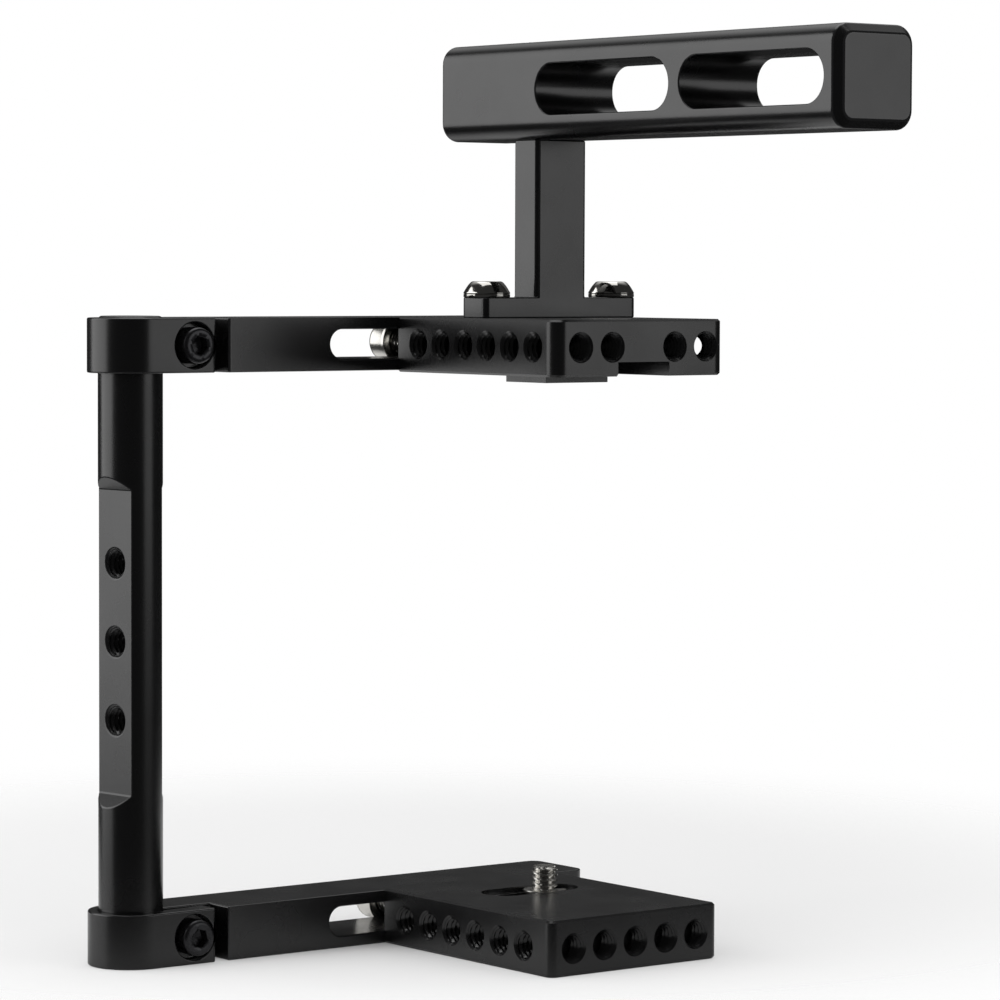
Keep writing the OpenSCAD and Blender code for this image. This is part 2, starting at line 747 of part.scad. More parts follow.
side_rod();
lower_arm();
upper_arm();
lower_clamp_screw();
upper_clamp_screw();
base_plate();
top_plate();
lower_lock_screw_left();
lower_lock_screw_right();
upper_lock_screw_left();
upper_lock_screw_right();
lower_lock_washer_left();
lower_lock_washer_right();
upper_lock_washer_left();
upper_lock_washer_right();
handle_post();
handle_bar();
handle_foot_screw_left();
handle_foot_screw_right();
handle_foot_washer_left();
handle_foot_washer_right();
handle_bar_screws();
shoe_foot();
shoe_screw();
camera_screw();
camera_screw_washer();
camera_screw_clip();
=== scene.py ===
"""Looks for a camera half cage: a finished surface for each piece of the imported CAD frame.

The frame's axes are X along the arms away from the side rod, Y away from the operator and Z up.
Meshes are in metres. Lengths in the code are in millimetres where a name or a comment says so.
"""
import json

import bmesh
import bpy
import numpy as np
from bpy.props import FloatProperty, FloatVectorProperty, PointerProperty, StringProperty
from bpy.types import Operator, Panel, PropertyGroup
from mathutils import Matrix, Vector

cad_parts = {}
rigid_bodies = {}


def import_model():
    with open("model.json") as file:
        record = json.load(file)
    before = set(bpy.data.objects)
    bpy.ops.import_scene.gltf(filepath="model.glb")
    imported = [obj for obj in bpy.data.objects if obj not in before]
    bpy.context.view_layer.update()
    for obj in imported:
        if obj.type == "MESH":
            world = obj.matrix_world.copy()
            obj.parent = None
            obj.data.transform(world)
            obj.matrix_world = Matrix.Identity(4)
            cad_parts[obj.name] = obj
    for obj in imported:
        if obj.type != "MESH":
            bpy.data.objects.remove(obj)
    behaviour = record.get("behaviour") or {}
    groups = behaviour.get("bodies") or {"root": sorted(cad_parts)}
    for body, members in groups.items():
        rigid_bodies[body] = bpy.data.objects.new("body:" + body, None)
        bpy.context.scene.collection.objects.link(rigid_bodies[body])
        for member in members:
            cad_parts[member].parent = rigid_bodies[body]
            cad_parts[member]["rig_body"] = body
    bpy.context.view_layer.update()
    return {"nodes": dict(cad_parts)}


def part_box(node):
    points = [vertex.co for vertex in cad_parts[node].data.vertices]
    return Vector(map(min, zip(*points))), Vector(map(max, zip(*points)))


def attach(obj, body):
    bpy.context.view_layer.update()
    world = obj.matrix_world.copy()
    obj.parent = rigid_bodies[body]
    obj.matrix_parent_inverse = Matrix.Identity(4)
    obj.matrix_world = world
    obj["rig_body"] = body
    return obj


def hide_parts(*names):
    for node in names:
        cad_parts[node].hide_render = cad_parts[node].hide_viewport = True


bl_info = {
    "name": "Camera half cage",
    "version": (1, 0, 0),
    "blender": (4, 5, 0),
    "location": "3D View > Sidebar > Cage",
    "description": "Builds the finished pieces of a camera half cage around its CAD frame",
    "category": "Object",
}

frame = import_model()

MM = 0.001

# Threads, in mm: the screw's radius, the pitch and the depth that the grooves are cut to
QUARTER_INCH = {"radius": 3.125, "pitch": 1.27, "depth": 0.62}
M5 = {"radius": 2.45, "pitch": 0.8, "depth": 0.42}
M4 = {"radius": 2.0, "pitch": 0.7, "depth": 0.36}

# Socket heads, in mm: diameter, height and width across the flats of the hexagon
QUARTER_INCH_HEAD = (9.525, 6.35, 4.7625)
M5_HEAD = (8.5, 5, 4)
M4_HEAD = (7, 4, 3)

LOCK_WASHER = (5.5, 3.55, 1.0)  # outer radius, bore's radius and thickness, in mm
HOLE_WALL = 3.168  # radius of the sleeve that a tapped hole's thread stands on, in mm

RIDGES = 36  # knurl ridges round a cap screw's head, 0.75 to 0.85 mm apart
COLUMNS = 2 * RIDGES  # a crest and a root to each ridge, and 12 columns to each side of a hexagon
ROWS_PER_TURN = 8
ANGLE = 2 * np.pi * np.arange(COLUMNS) / COLUMNS  # where the columns of a turned surface stand

# Threads of the tapped holes that show, in mm: body, first mouth, step to the next, way in, and the
# depth that each thread is drawn for. Where another hole crosses, the thread ends where they meet.
# The base plate's rear holes are 4.5 deep: the ends of their threads lie out of sight in the plate.
HOLES = [
    ("base_plate", (-25, -8.3, 6.35), (0, 9.2, 0), (1, 0, 0), (8, 8, 8, 8, 8, 8)),
    ("base_plate", (25, 0.9, 6.35), (0, 9.2, 0), (-1, 0, 0), (6, 6, 6, 6, 6)),
    ("base_plate", (-18.2, -18.5, 6.35), (9.1, 0, 0), (0, 1, 0), (6.4, 6.4, 6.4, 6.4, 6.4)),
    ("base_plate", (0, 0, 0), (0, 0, 0), (0, 0, 1), (9.5,)),
    ("top_plate", (-21.3, -6.15, 143.65), (0, 8.85, 0), (1, 0, 0), (4, 4, 4, 4, 4, 4)),
    ("top_plate", (29.7, -6.15, 143.65), (0, 8.85, 0), (-1, 0, 0), (2.8, 6, 6)),
    ("top_plate", (29.7, 38.1, 143.65), (0, 0, 0), (-1, 0, 0), (6,)),
    ("top_plate", (-13.8, -14.5, 143.65), (9.3, 0, 0), (0, 1, 0), (9.5, 9.5)),
    ("top_plate", (14.1, -14.5, 143.65), (9.3, 0, 0), (0, 1, 0), (9.5, 5.0)),
    ("side_rod", (-95.070, 55.479, 57.0), (0, 0, 18.2), (0.993572, 0.113203, 0), (9.2, 9.2, 9.2)),
]


# ---- Settings ----

class CageEdges(PropertyGroup):
    """Widths of the softened edges."""

    arm: FloatProperty(name="Arms", description="Width of the softened edges of the arms",
                       default=0.0004, unit="LENGTH", precision=5)
    rod: FloatProperty(name="Side rod", description="Width of the softened edges of the side rod",
                       default=0.00025, unit="LENGTH", precision=5)
    post: FloatProperty(name="Post", description="Width of the softened edges of the post",
                        default=0.0003, unit="LENGTH", precision=5)
    grip: FloatProperty(name="Grip", description="Width of the softened edges of the grip",
                        default=0.0004, unit="LENGTH", precision=5)
    small: FloatProperty(name="Small pieces", description="Width of the softened edges of small pieces",
                         default=0.00012, unit="LENGTH", precision=5)


class CageFinish(PropertyGroup):
    """Colours and gloss."""

    anodised: StringProperty(name="Anodised", description="sRGB colour of the black anodised layer",
                             default="#0c0c0d")
    anodised_roughness: FloatProperty(name="Anodised roughness", default=0.26, subtype="FACTOR",
                                      description="Roughness of the bead blasted, anodised surface")
    stainless: StringProperty(name="Stainless", description="sRGB colour of the stainless steel",
                              default="#d6d4cf")
    oxide: StringProperty(name="Black oxide", description="sRGB colour of the black oxide steel",
                          default="#2b2b2d")
    floor: StringProperty(name="Floor", description="sRGB colour of the studio floor",
                          default="#f7f7f7")


class CageView(PropertyGroup):
    """The camera and the lamps."""

    place: FloatVectorProperty(name="Camera place", description="Where the camera stands",
                               default=(-0.620, -0.77509, 0.16206), subtype="TRANSLATION")
    azimuth: FloatProperty(name="Azimuth", description="Way that the camera looks, from +Y to +X, in degrees",
                           default=37.472)
    pitch: FloatProperty(name="Pitch", description="Angle that the camera looks down by, in degrees",
                         default=3.139)
    roll: FloatProperty(name="Roll", description="Turn of the camera about its own axis, in degrees",
                        default=0.227)
    lens: FloatProperty(name="Lens", description="Focal length on a 36 mm sensor, in millimetres",
                        default=153.215)
    key: FloatProperty(name="Key light", description="Radiance of the large softbox behind the rod",
                       default=1.7)
    fill: FloatProperty(name="Fill light", description="Radiance of the softbox in front, on the right",
                        default=1.1)
    top: FloatProperty(name="Top light", description="Radiance of the softbox overhead", default=1.2)


# ---- Node and colour helpers ----

def linear(colour):
    """Linear RGBA of an sRGB hex colour: s / 12.92 up to 0.04045, above it ((s + 0.055) / 1.055) ** 2.4."""
    s = np.array([int(colour[i:i + 2], 16) for i in (1, 3, 5)]) / 255
    return (*np.where(s <= 0.04045, s / 12.92, ((s + 0.055) / 1.055) ** 2.4).tolist(), 1.0)


def node(tree, kind, inputs=None, **settings):
    """Adds a node of that kind. Each input gets a value, or a link from another node's socket."""
    made = tree.nodes.new(kind)
    for name, value in settings.items():
        setattr(made, name, value)
    for name, value in (inputs or {}).items():
        if isinstance(value, bpy.types.NodeSocket):
            tree.links.new(value, made.inputs[name])
        else:
            made.inputs[name].default_value = value
    return made


def new_material(name):
    """A node material with only its output, and that output."""
    material = bpy.data.materials.new(name)
    material.use_nodes = True
    material.node_tree.nodes.clear()
    return material, material.node_tree, node(material.node_tree, "ShaderNodeOutputMaterial")


def per_mm(size):
    """Noise scale on Object coordinates, in metres, for a grain of that size in mm."""
    return 1 / (size * MM)


# ---- Mesh helpers ----

def finish_mesh(name, mesh, material_list, body, nodes=()):
    """Links a mesh as a piece that rides on a body and stands for CAD nodes."""
    piece = bpy.data.objects.new(name, mesh)
    bpy.context.scene.collection.objects.link(piece)
    for material in material_list:
        mesh.materials.append(material)
    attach(piece, body)
    if nodes:
        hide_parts(*nodes)
    return piece


def tidy(mesh, weld=1e-7, sharp=35):
    """Welds doubles, turns the faces outwards, and shades smooth up to a sharp angle in degrees."""
    bm = bmesh.new()
    bm.from_mesh(mesh)
    bmesh.ops.remove_doubles(bm, verts=bm.verts, dist=weld)
    bmesh.ops.recalc_face_normals(bm, faces=bm.faces)
    bm.to_mesh(mesh)
    bm.free()
    mesh.shade_smooth()
    mesh.set_sharp_from_angle(angle=np.radians(sharp))


def machined(source, material_list, width, segments=3):
    """A copy of a CAD node with its doubles welded. With a width, its flat faces are made whole and
    its edges rounded over by a Bevel modifier, whose faces take the second material."""
    cad = frame["nodes"][source]
    mesh = cad.data.copy()
    mesh.materials.clear()
    bm = bmesh.new()
    bm.from_mesh(mesh)
    bmesh.ops.remove_doubles(bm, verts=bm.verts, dist=2e-6)
    if width:
        bmesh.ops.dissolve_limit(bm, angle_limit=np.radians(0.3), verts=bm.verts, edges=bm.edges)
    bm.to_mesh(mesh)
    bm.free()
    for attribute in [a.name for a in mesh.attributes if a.name == "custom_normal"]:
        mesh.attributes.remove(mesh.attributes[attribute])
    mesh.shade_smooth()
    mesh.set_sharp_from_angle(angle=np.radians(30))
    mesh.polygons.foreach_set("material_index", np.zeros(len(mesh.polygons), np.int32))
    piece = finish_mesh(source + "_finished", mesh, material_list, cad["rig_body"], [source])
    if not width:
        return piece
    bevel = piece.modifiers.new("rounded_edges", "BEVEL")
    bevel.limit_method = "ANGLE"
    bevel.angle_limit = np.radians(30)
    bevel.width = width
    bevel.segments = segments
    bevel.use_clamp_overlap = False
    bevel.harden_normals = True
    # the rounded edges take the paler edge material, which is partly edge wear and partly painted highlight
    bevel.material = 1
    return piece


def grid_mesh(name, grids):
    """One mesh from grids of points (rows, columns, 3), in metres. Columns close into a ring. A grid
    given with True closes its rows too. The map "lathe" holds turns round in u and mm along in v."""
    points, quads, lathe, start = [], [], [], 0
    for grid, closed in grids:
        rows, columns = grid.shape[:2]
        i = np.arange(rows if closed else rows - 1)[:, None]
        j = np.arange(columns)[None, :]
        k, l = (i + 1) % rows, (j + 1) % columns
        quads.append(np.stack([i * columns + j, i * columns + l, k * columns + l, k * columns + j], -1)
                     .reshape(-1, 4) + start)
        along = np.concatenate([[0], np.cumsum(np.linalg.norm(np.diff(grid[:, 0], axis=0), axis=1))]) / MM
        v0 = np.broadcast_to(along[i], (len(i), columns))
        v1 = np.broadcast_to(along[k], (len(i), columns))
        u0 = np.broadcast_to(j / columns, (len(i), columns))
        u1 = np.broadcast_to((j + 1) / columns, (len(i), columns))
        lathe.append(np.stack([u0, v0, u1, v0, u1, v1, u0, v1], -1).reshape(-1, 2))
        points.append(grid.reshape(-1, 3))
        start += rows * columns
    mesh = bpy.data.meshes.new(name)
    mesh.from_pydata(np.concatenate(points), [], np.concatenate(quads))
    mesh.uv_layers.new(name="lathe").data.foreach_set("uv", np.concatenate(lathe).astype(np.float32).ravel())
    tidy(mesh)
    return mesh


def basis(axis):
    """Three unit vectors as columns, square to each other, the third along axis."""
    z = Vector(axis).normalized()
    x = z.orthogonal()
    x = (x - x.dot(z) * z).normalized()
    return np.array([x, z.cross(x), z]).T


def turned(radii, heights, origin, axis):
    """A surface of revolution. Radii and heights, in mm, are one number or one for each column in
    each row: the point at angle a is origin + (radius cos a, radius sin a, height) along axis."""
    r = np.stack([np.broadcast_to(row, COLUMNS) for row in radii])
    h = np.stack([np.broadcast_to(row, COLUMNS) for row in heights])
    local = np.stack([r * np.cos(ANGLE), r * np.sin(ANGLE), h], -1)
    return (local @ basis(axis).T + np.array(origin)) * MM


def groove(heights, pitch, depth):
    """Depth of a screw thread at each height (rows) and angle (columns), in mm. With turn = height /
    pitch - angle / full turn, it is a V: |2 frac(turn) - 1|, stretched by 4/3 and held in 0 to 1."""
    turn = np.asarray(heights)[:, None] / pitch - ANGLE[None, :] / (2 * np.pi)
    return depth * np.clip((np.abs(2 * np.mod(turn, 1) - 1) - 0.125) * 4 / 3, 0, 1)


def hexagon(across):
    """Radius of a hexagon across flats by angle: half of across / cos(angle in its side - 30 degrees)."""
    return across / 2 / np.cos(np.mod(ANGLE, np.pi / 3) - np.pi / 6)


def shank(thread, length, top=0.0):
    """Rows of radii and heights of a threaded shank, from the middle of its tip up to top. The
    thread runs out at both ends and the tip has a bevel: radius is at most 0.6 less plus height."""
    radius, pitch, depth = thread["radius"], thread["pitch"], thread["depth"]
    steps = int(round((length - 0.6) / pitch * ROWS_PER_TURN))
    heights = np.linspace(top - length, top - 0.6, steps)
    rows = radius - groove(heights, pitch, depth)
    rows = np.minimum(rows, radius - 0.6 + (heights - heights[0])[:, None])
    fade = np.clip((heights[-1] - heights) / pitch, 0, 1)[:, None]
    rows = radius - (radius - rows) * fade
    return [0.0, *rows], [heights[0], *heights]


def socket_rows(across, top, floor):
    """Rows of a hexagon socket that opens at top: a small countersink, the hexagon's walls, and a
    floor that dips to a drill point."""
    corner = across / 2 / np.cos(np.pi / 6)
    hexagonal = hexagon(across)
    return ([corner + 0.12, hexagonal, hexagonal, 0.0],
            [top, top - 0.22, floor, floor - 0.3 * across / 2])


def cap_screw(thread, length, head_size, origin, axis):
    """A socket head cap screw: threaded shank along -axis from the origin, knurled head along +axis."""
    head_d, head_h, across = head_size
    r, h = shank(thread, length)
    head = head_d / 2
    ridge = np.where(np.arange(COLUMNS) % 2, head - 0.16, head)
    smooth = head - 0.05
    r += [thread["radius"], thread["radius"] + 0.25, head - 0.35, smooth, smooth, ridge, ridge, smooth,
          smooth - 0.1, smooth - 0.45, smooth - 0.75]
    h += [-0.25, 0.0, 0.0, 0.3, 0.55, 0.8, head_h - 1.15, head_h - 0.9,
          head_h - 0.45, head_h - 0.1, head_h]
    socket = socket_rows(across, head_h, 0.45 * head_h)
    return turned(r + socket[0], h + socket[1], origin, axis), False


def washer(outer_r, bore_r, thick, origin, axis):
    """A flat washer: a rounded rectangle turned about the axis, punched with one softer rim."""
    e = 0.12 * thick
    r = [bore_r, bore_r + e, outer_r - 2 * e, outer_r - 0.6 * e, outer_r,
         outer_r, outer_r - e, bore_r + e, bore_r]
    h = [e, 0, 0, 0.6 * e, 2 * e, thick - e, thick, thick, thick - e]
    return turned(r, h, origin, axis), True


def centre_of(name):
    """The middle of a CAD node's box and its corners, in mm."""
    low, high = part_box(name)
    return (low + high) / 2 / MM, low / MM, high / MM


# ---- Finishes ----

def black_anodised_aluminium(name, colour, roughness, grain=0.28):
    """Aluminium, machined, bead blasted and dyed black in a clear oxide layer, whose index is 1.65.
    The eye gets a satin black that shows soft lamps as grey, over the fine bite of the beads, with
    a little unevenness where hands and blasting went. Real grit bites are 0.1 mm and are drawn at
    grain mm, so that they show."""
    material, tree, output = new_material(name)
    place = node(tree, "ShaderNodeTexCoord").outputs["Object"]
    bite = node(tree, "ShaderNodeTexNoise", {"Vector": place, "Scale": per_mm(grain), "Detail": 2.0})
    cloud = node(tree, "ShaderNodeTexNoise", {"Vector": place, "Scale": per_mm(14), "Detail": 3.0})
    tone = node(tree, "ShaderNodeMixRGB", {
        "Fac": cloud.outputs["Fac"],
        "Color1": linear(colour),
        "Color2": tuple(0.72 * c for c in linear(colour)[:3]) + (1.0,)})
    gloss = node(tree, "ShaderNodeMapRange", {
        "Value": cloud.outputs["Fac"], "From Min": 0.3, "From Max": 0.7,
        "To Min": roughness - 0.02, "To Max": roughness + 0.025})
    relief = node(tree, "ShaderNodeBump", {
        "Height": bite.outputs["Fac"], "Strength": 0.12, "Distance": 0.00003})
    shader = node(tree, "ShaderNodeBsdfPrincipled", {
        "Base Color": tone.outputs["Color"], "Roughness": gloss.outputs["Result"],
        "IOR": 1.65, "Normal": relief.outputs["Normal"]})
    tree.links.new(shader.outputs["BSDF"], output.inputs["Surface"])
    return material


def polished_stainless(name, colour, roughness, ring=0.18):
    """Stainless steel, turned and polished. The eye gets near mirror reflections, broken by faint
    lathe rings: ring mm apart along the profile, coarser than the real 0.05 mm so that they show."""
    material, tree, output = new_material(name)
    lathe = node(tree, "ShaderNodeUVMap", uv_map="lathe").outputs["UV"]
    rings_at = node(tree, "ShaderNodeMapping", {"Vector": lathe, "Scale": (3.0, 1 / ring, 1.0)})
    rings = node(tree, "ShaderNodeTexNoise", {
        "Vector": rings_at.outputs["Vector"], "Scale": 1.0, "Detail": 1.0})
    place = node(tree, "ShaderNodeTexCoord").outputs["Object"]
    smear = node(tree, "ShaderNodeTexNoise", {"Vector": place, "Scale": per_mm(2.5), "Detail": 3.0})
    gloss = node(tree, "ShaderNodeMapRange", {
        "Value": smear.outputs["Fac"], "From Min": 0.3, "From Max": 0.7,
        "To Min": roughness, "To Max": roughness + 0.07})
    relief = node(tree, "ShaderNodeBump", {
        "Height": rings.outputs["Fac"], "Strength": 0.10, "Distance": 0.00002})
    shader = node(tree, "ShaderNodeBsdfPrincipled", {
        "Base Color": linear(colour), "Metallic": 1.0, "Roughness": gloss.outputs["Result"],
        "Normal": relief.outputs["Normal"]})
    tree.links.new(shader.outputs["BSDF"], output.inputs["Surface"])
    return material


def black_oxide_steel(name, colour):
    """Alloy steel, blackened in a hot salt bath and oiled. The eye gets a dark brown-black metal
    with mottling about 0.6 mm across and the thin gloss of the oil."""
    material, tree, output = new_material(name)
    place = node(tree, "ShaderNodeTexCoord").outputs["Object"]
    mottle = node(tree, "ShaderNodeTexNoise", {"Vector": place, "Scale": per_mm(0.6), "Detail": 4.0})
    tone = node(tree, "ShaderNodeMixRGB", {
        "Fac": mottle.outputs["Fac"],
        "Color1": linear(colour),
        "Color2": tuple(1.7 * c for c in linear(colour)[:3]) + (1.0,)})
    gloss = node(tree, "ShaderNodeMapRange", {
        "Value": mottle.outputs["Fac"], "From Min": 0.3, "From Max": 0.7, "To Min": 0.24, "To Max": 0.4})
    shader = node(tree, "ShaderNodeBsdfPrincipled", {
        "Base Color": tone.outputs["Color"], "Metallic": 0.85, "Roughness": gloss.outputs["Result"],
        "Coat Weight": 0.25, "Coat Roughness": 0.15})
    tree.links.new(shader.outputs["BSDF"], output.inputs["Surface"])
    return material


def finishes():
    """The materials, made on first use and then found by name."""
    made = bpy.data.materials
    look = bpy.context.scene.cage_finish
    rough = look.anodised_roughness
    makers = {
        "anodised": lambda n: black_anodised_aluminium(n, look.anodised, rough),
        # Edges: paler and smoother. The paler colour is partly wear, where tumbling thinned the layer, and
        # partly painted highlight for the light that the rounded edges catch
        "anodised_edge_wear_and_highlight": lambda n: black_anodised_aluminium(n, "#1b1b1c", rough - 0.07),
        # Milled bores and threads are not blasted, so they are smoother than the faces
        "anodised_milled": lambda n: black_anodised_aluminium(n, look.anodised, 0.2, 0.5),
        "stainless_polished": lambda n: polished_stainless(n, look.stainless, 0.07),
        "stainless_turned": lambda n: polished_stainless(n, look.stainless, 0.2, 0.3),
        "oxide_oiled": lambda n: black_oxide_steel(n, look.oxide),
    }
    return {n: made.get(n) or make(n) for n, make in makers.items()}


# ---- Operators, one for each piece or group of like pieces ----

class CAGE_OT_arms(Operator):
    """Round the edges of the two slotted arms"""

    bl_idname = "cage.arms"
    bl_label = "Arms"

    def execute(self, context):
        m = finishes()
        for source in ("lower_arm", "upper_arm"):
            machined(source, [m["anodised"], m["anodised_edge_wear_and_highlight"]], context.scene.cage_edges.arm)
        return {"FINISHED"}


class CAGE_OT_rod(Operator):
    """Round the edges of the side rod"""

    bl_idname = "cage.rod"
    bl_label = "Side rod"

    def execute(self, context):
        m = finishes()
        machined("side_rod", [m["anodised"], m["anodised_edge_wear_and_highlight"]], context.scene.cage_edges.rod)
        return {"FINISHED"}


class CAGE_OT_plates(Operator):
    """Finish the top plate and the base plate, whose bevels are machined"""

    bl_idname = "cage.plates"
    bl_label = "Plates"

    def execute(self, context):
        m = finishes()
        for source in ("base_plate", "top_plate"):
            machined(source, [m["anodised"]], 0)
        return {"FINISHED"}


class CAGE_OT_hole_threads(Operator):
    """Cut the threads that show in the tapped holes"""

    bl_idname = "cage.hole_threads"
    bl_label = "Threads in the holes"

    def execute(self, context):
        m = finishes()
        grids = {}
        for body, mouth, step, inwards, depths in HOLES:
            for i, depth in enumerate(depths):
                start = np.array(mouth) + i * np.array(step)
                # between the bevels of the rod's holes, or from a mouth's bevel to near the floor
                first, last = (0.55, depth - 0.55) if body == "side_rod" else (0.45, depth - 0.35)
                rows = max(4, int(round((last - first) / QUARTER_INCH["pitch"] * ROWS_PER_TURN)))
                heights = np.linspace(first, last, rows)
                cut = groove(heights, QUARTER_INCH["pitch"], QUARTER_INCH["depth"])
                # the thread stands in from the hole's wall, and runs out at its two ends
                fade = np.clip(np.minimum(heights - first, last - heights) / 0.5, 0, 1)[:, None]
                radii = HOLE_WALL - 0.04 - (QUARTER_INCH["depth"] - cut) * fade
                grids.setdefault(body, []).append((turned(
                    [*radii, HOLE_WALL, HOLE_WALL], [*heights, last, first], start, inwards), True))
        for body, parts in grids.items():
            finish_mesh(body + "_hole_threads", grid_mesh(body + "_hole_threads", parts),
                        [m["anodised_milled"]], body)
        return {"FINISHED"}


class CAGE_OT_clamp_screws(Operator):
    """Turn the two black cap screws that close the clamps"""

    bl_idname = "cage.clamp_screws"
    bl_label = "Clamp screws"

    def execute(self, context):
        m = finishes()
        for source in ("lower_clamp_screw", "upper_clamp_screw"):
            middle, low, high = centre_of(source)
            head_h = M5_HEAD[1]
            seat = (middle.x, low.y + head_h, middle.z)
            grid = cap_screw(M5, high.y - low.y - head_h, M5_HEAD, seat, (0, -1, 0))
            finish_mesh(source + "_turned", grid_mesh(source, [grid]), [m["oxide_oiled"]],
                        source, [source])
        return {"FINISHED"}


class CAGE_OT_lock_screws(Operator):
    """Turn the four stainless cap screws that lock the plates to the arms, and their washers"""

    bl_idname = "cage.lock_screws"
    bl_label = "Lock screws"

    def execute(self, context):
        m = finishes()
        for level, body in (("lower", "base_plate"), ("upper", "top_plate")):
            for side in ("left", "right"):
                source = f"{level}_lock_screw_{side}"
                middle, low, high = centre_of(source)
                head_h = QUARTER_INCH_HEAD[1]
                seat = (middle.x, high.y - head_h, middle.z)
                length = high.y - low.y - head_h
                grid = cap_screw(QUARTER_INCH, length, QUARTER_INCH_HEAD, seat, (0, 1, 0))
                finish_mesh(source + "_turned", grid_mesh(source, [grid]), [m["stainless_turned"]],
                            source, [source])
                ring = f"{level}_lock_washer_{side}"
                middle, low, _ = centre_of(ring)
                grid = washer(*LOCK_WASHER, (middle.x, low.y, middle.z), (0, 1, 0))
                finish_mesh(ring + "_turned", grid_mesh(ring, [grid]), [m["stainless_turned"]],
                            body, [ring])
        return {"FINISHED"}


class CAGE_OT_post(Operator):
    """Round the edges of the post"""

    bl_idname = "cage.post"
    bl_label = "Post"

    def execute(self, context):
        m = finishes()
        machined("handle_post", [m["anodised"], m["anodised_edge_wear_and_highlight"]], context.scene.cage_edges.post)
        return {"FINISHED"}


class CAGE_OT_grip(Operator):
    """Round the edges of the grip, and turn the two screws in its top"""

    bl_idname = "cage.grip"
    bl_label = "Grip"

    def execute(self, context):
        m = finishes()
        machined("handle_bar", [m["anodised"], m["anodised_edge_wear_and_highlight"]], context.scene.cage_edges.grip)
        middle, low, high = centre_of("handle_bar_screws")
        head_d, head_h, _ = M4_HEAD
        grids = []
        for side in (-1, 1):
            seat = (middle.x + side * ((high.x - low.x) / 2 - head_d / 2), middle.y, high.z - head_h)
            grids.append(cap_screw(M4, high.z - head_h - low.z, M4_HEAD, seat, (0, 0, 1)))
        finish_mesh("handle_bar_screws_turned", grid_mesh("handle_bar_screws", grids), [m["oxide_oiled"]],
                    "top_plate", ["handle_bar_screws"])
        return {"FINISHED"}


class CAGE_OT_foot_screws(Operator):
    """Turn the two polished button head screws in the post's foot, and their washers"""

    bl_idname = "cage.foot_screws"
    bl_label = "Foot screws"

    def execute(self, context):
        m = finishes()
        for side in ("left", "right"):
            source = f"handle_foot_screw_{side}"
            middle, low, high = centre_of(source)
            ring = f"handle_foot_washer_{side}"
            _, ring_low, ring_high = centre_of(ring)
            seat_z = ring_high.z
            head, tall = (high.x - low.x) / 2, high.z - seat_z
            r, h = shank(QUARTER_INCH, seat_z - low.z)
            # the flank runs from the rim to the flat top in t, and stands out from a straight line
            # by a sine; the last tenth turns over onto the top
            t = np.linspace(0, 0.94, 12)
            dome_r = head - 0.36 * head * t - 0.03
            dome_h = 0.3 + (tall - 0.3) * (t + 0.11 * np.sin(np.pi * t))
            r += [QUARTER_INCH["radius"], head - 0.5, head - 0.08, head - 0.02, *dome_r, 0.59 * head]
            h += [-0.2, 0.0, 0.06, 0.2, *dome_h, tall]
            socket = socket_rows(3.97, tall, tall - 2.0)
            grid = turned(r + socket[0], h + socket[1], (middle.x, middle.y, seat_z), (0, 0, 1)), False
            finish_mesh(source + "_turned", grid_mesh(source, [grid]), [m["stainless_polished"]],
                        "top_plate", [source])
            grid = washer((ring_high.x - ring_low.x) / 2, 3.375, seat_z - ring_low.z,
                          (middle.x, middle.y, ring_low.z), (0, 0, 1))
            finish_mesh(ring + "_turned", grid_mesh(ring, [grid]), [m["stainless_polished"]],
                        "top_plate", [ring])
        return {"FINISHED"}


class CAGE_OT_shoe(Operator):
    """Round the edges of the shoe foot, and turn its countersunk screw"""

    bl_idname = "cage.shoe"
    bl_label = "Shoe foot"

    def execute(self, context):
        m = finishes()
        width = context.scene.cage_edges.small
        machined("shoe_foot", [m["anodised"], m["anodised_edge_wear_and_highlight"]], width, segments=2)
        middle, low, high = centre_of("shoe_screw")
        tall = high.z - low.z
        r, h = shank(dict(M5, radius=2.49), tall, top=tall)
        h = [tall - x for x in h]  # the tip is the top end, so the rows run down
        r += [2.5, 4.9, 5.0]
        h += [2.5, 0.1, 0.0]
        socket = socket_rows(3.0, 0.0, -2.0)
        h += [-x for x in socket[1]]
        grid = turned(r + socket[0], h, (middle.x, middle.y, low.z), (0, 0, 1)), False
        finish_mesh("shoe_screw_turned", grid_mesh("shoe_screw", [grid]), [m["oxide_oiled"]],
                    "top_plate", ["shoe_screw"])
        return {"FINISHED"}


class CAGE_OT_camera_screw(Operator):
    """Turn the slotted camera screw and its washer, and bend its clip"""

    bl_idname = "cage.camera_screw"
    bl_label = "Camera screw"

    def execute(self, context):
        m = finishes()
        middle, low, high = centre_of("camera_screw")
        head, under = (high.x - low.x) / 2, 4.0
        r, h = shank(QUARTER_INCH, high.z - low.z - under + 0.3)
        # the shank's tip is the top end, and its foot stands 0.3 mm inside the head
        r, h = r + [QUARTER_INCH["radius"], 0.0], [-x for x in h] + [0.0, 0.0]
        stud = turned(r, h, (middle.x, middle.y, low.z + under - 0.3), (0, 0, 1)), False
        finish_mesh("camera_screw_turned", grid_mesh("camera_screw", [stud, slotted_disc(
            head, under, 0.8, 1.5, (middle.x, middle.y, low.z))]), [m["stainless_turned"]],
            "camera_screw", ["camera_screw"])
        middle, low, high = centre_of("camera_screw_washer")
        grid = washer((high.x - low.x) / 2, 3.55, high.z - low.z, (middle.x, middle.y, low.z), (0, 0, 1))
        finish_mesh("camera_screw_washer_turned", grid_mesh("camera_screw_washer", [grid]),
                    [m["stainless_turned"]], "camera_screw_washer", ["camera_screw_washer"])
        middle, low, high = centre_of("camera_screw_clip")
        outer_r = (high.y - low.y) / 2
        grid = open_ring(outer_r, 2.6, high.z - low.z, 3.2, (low.x + outer_r, middle.y, low.z))
        finish_mesh("camera_screw_clip_bent", grid_mesh("camera_screw_clip", [grid]),
                    [m["stainless_turned"]], "camera_screw", ["camera_screw_clip"])
        return {"FINISHED"}


